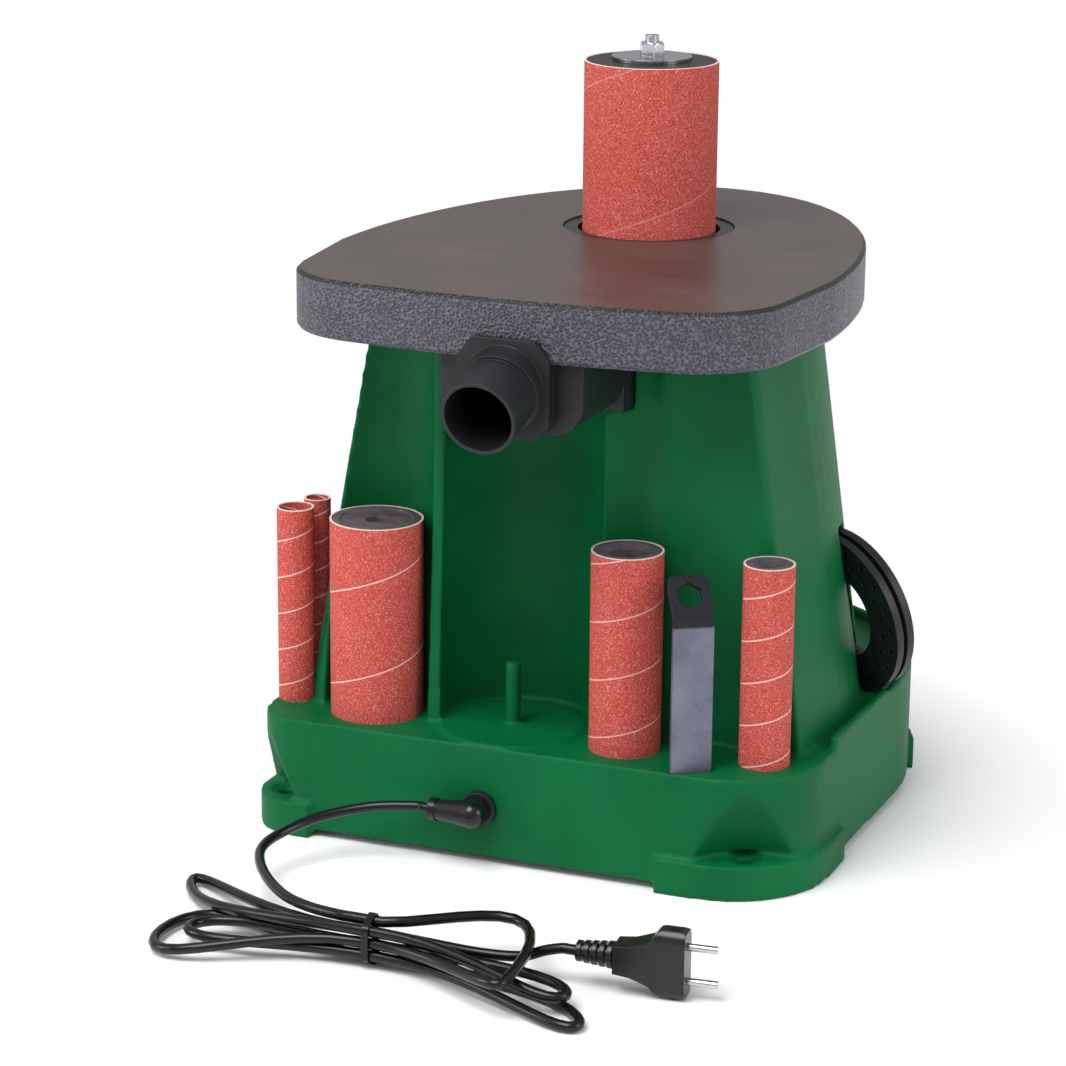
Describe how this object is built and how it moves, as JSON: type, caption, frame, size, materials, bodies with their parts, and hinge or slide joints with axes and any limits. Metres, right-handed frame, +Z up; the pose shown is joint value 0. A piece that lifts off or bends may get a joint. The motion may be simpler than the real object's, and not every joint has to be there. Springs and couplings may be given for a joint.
{
  "type": "benchtop oscillating spindle sander",
  "caption": "Benchtop spindle sander: a rubber drum in an abrasive sleeve turns and rises through a table, with spare drums kept on a tray behind.",
  "frame": {"origin": "middle of the four bench-bolt holes, on the bench", "axes": "+Z up along the spindle; the operator stands at -Y; the storage tray, dust port and cord are at +Y; +X is the operator's right hand"},
  "size_m": [0.3482, 0.5545, 0.4435],
  "materials": {
    "housing_green": "satin moulded, fine grain",
    "table_grey": "painted, fine hammer texture on the side, satin top",
    "black_plastic": "moulded, fine grain",
    "abrasive_red": "cloth-backed grit",
    "drum_rubber": "moulded rubber",
    "bright_steel": "bright zinc",
    "machined_steel": "turned",
    "wrench_steel": "dark stamped steel",
    "zinc_sheet": "galvanised",
    "cast_alloy": "as cast",
    "gear_bronze": "bronze",
    "belt_rubber": "toothless flat belt",
    "capacitor_white": "smooth",
    "button_green": "smooth",
    "button_red": "smooth",
    "cord_black": "smooth PVC"
  },
  "bodies": {
    "frame": {"body_housing": "housing_green", "bottom_plate": "zinc_sheet", "plate_screws": "bright_steel", "table": "table_grey", "table_bolts": "bright_steel", "dust_duct": "black_plastic", "dust_port": "black_plastic", "carrier": "cast_alloy", "upper_bearing": "machined_steel", "lower_bearing": "machined_steel", "motor_case": "cast_alloy", "belt": "belt_rubber", "gear_bracket": "zinc_sheet", "capacitor": "capacitor_white", "switch_frame": "black_plastic", "inner_lead": "cord_black", "cord_gland": "black_plastic", "strain_relief": "cord_black", "cord_lead": "cord_black", "cord_hank": "cord_black", "cord_tie": "black_plastic", "cord_tail": "cord_black", "plug_relief": "cord_black", "plug_body": "black_plastic", "plug_pins": "bright_steel"},
    "lift": {"lift_yoke": "cast_alloy"},
    "rotor": {"spindle": "machined_steel", "drum_flange": "machined_steel"},
    "work_drum": {"drum_76": "drum_rubber", "top_washer": "bright_steel"},
    "work_sleeve": {"sleeve_76": "abrasive_red"},
    "nut": {"drum_nut": "bright_steel"},
    "insert": {"table_insert": "black_plastic"},
    "hub": {"drive_hub": "machined_steel"},
    "motor_rotor": {"motor_shaft": "machined_steel", "motor_pulley": "cast_alloy"},
    "wheel": {"worm_wheel": "gear_bronze"},
    "stored_51": {"drum_51": "drum_rubber", "sleeve_51": "abrasive_red"},
    "stored_38": {"drum_38": "drum_rubber", "sleeve_38": "abrasive_red"},
    "stored_26": {"drum_26": "drum_rubber", "sleeve_26": "abrasive_red"},
    "stored_19": {"sleeve_19": "abrasive_red"},
    "stored_13": {"sleeve_13": "abrasive_red"},
    "wrench_tool": {"wrench": "wrench_steel"},
    "spare_insert_a": {"stored_insert_a": "black_plastic"},
    "spare_insert_b": {"stored_insert_b": "black_plastic"},
    "on_button": {"button_on": "button_green"},
    "off_button": {"button_off": "button_red"}
  },
  "joints": [
    {"name": "lift_slide", "type": "slide", "parent": "frame", "child": "lift", "axis": [0, 0, 1], "range_m": [-0.008, 0.008]},
    {"name": "spindle_spin", "type": "hinge", "parent": "lift", "child": "rotor", "pos_m": [-0.01, -0.057, 0.3], "axis": [0, 0, 1], "continuous": true},
    {"name": "drum_lift", "type": "slide", "parent": "rotor", "child": "work_drum", "axis": [0, 0, 1], "range_m": [0, 0.13]},
    {"name": "sleeve_lift", "type": "slide", "parent": "work_drum", "child": "work_sleeve", "axis": [0, 0, 1], "range_m": [0, 0.12]},
    {"name": "nut_lift", "type": "slide", "parent": "work_drum", "child": "nut", "axis": [0, 0, 1], "range_m": [0, 0.03]},
    {"name": "insert_lift", "type": "slide", "parent": "frame", "child": "insert", "axis": [0, 0, 1], "range_m": [0, 0.13]},
    {"name": "hub_spin", "type": "hinge", "parent": "frame", "child": "hub", "pos_m": [-0.01, -0.057, 0.16], "axis": [0, 0, 1], "continuous": true},
    {"name": "motor_spin", "type": "hinge", "parent": "frame", "child": "motor_rotor", "pos_m": [0.054, -0.023, 0.16], "axis": [0, 0, 1], "continuous": true},
    {"name": "wheel_spin", "type": "hinge", "parent": "frame", "child": "wheel", "pos_m": [-0.04312, -0.057, 0.058], "axis": [0, 1, 0], "continuous": true},
    {"name": "drum_51_lift", "type": "slide", "parent": "frame", "child": "stored_51", "axis": [0, 0, 1], "range_m": [0, 0.045]},
    {"name": "drum_38_lift", "type": "slide", "parent": "frame", "child": "stored_38", "axis": [0, 0, 1], "range_m": [0, 0.045]},
    {"name": "drum_26_lift", "type": "slide", "parent": "frame", "child": "stored_26", "axis": [0, 0, 1], "range_m": [0, 0.045]},
    {"name": "sleeve_19_lift", "type": "slide", "parent": "frame", "child": "stored_19", "axis": [0, 0, 1], "range_m": [0, 0.045]},
    {"name": "sleeve_13_lift", "type": "slide", "parent": "frame", "child": "stored_13", "axis": [0, 0, 1], "range_m": [0, 0.045]},
    {"name": "wrench_lift", "type": "slide", "parent": "frame", "child": "wrench_tool", "axis": [0, 0, 1], "range_m": [0, 0.04]},
    {"name": "spare_insert_a_out", "type": "slide", "parent": "frame", "child": "spare_insert_a", "axis": [-0.762, 0.5553, 0.3333], "range_m": [0, 0.08]},
    {"name": "spare_insert_b_out", "type": "slide", "parent": "frame", "child": "spare_insert_b", "axis": [-0.762, 0.5553, 0.3333], "range_m": [0, 0.08]},
    {"name": "on_press", "type": "slide", "parent": "frame", "child": "on_button", "axis": [0, 1, 0], "range_m": [0, 0.002], "stiffness_N_per_m": 400},
    {"name": "off_press", "type": "slide", "parent": "frame", "child": "off_button", "axis": [0, 1, 0], "range_m": [0, 0.002], "stiffness_N_per_m": 400}
  ],
  "couplings": [
    {"joint": "hub_spin", "follows": "motor_spin", "ratio": 0.70833},
    {"joint": "spindle_spin", "follows": "motor_spin", "ratio": 0.70833},
    {"joint": "wheel_spin", "follows": "motor_spin", "ratio": 0.019676}
  ]
}
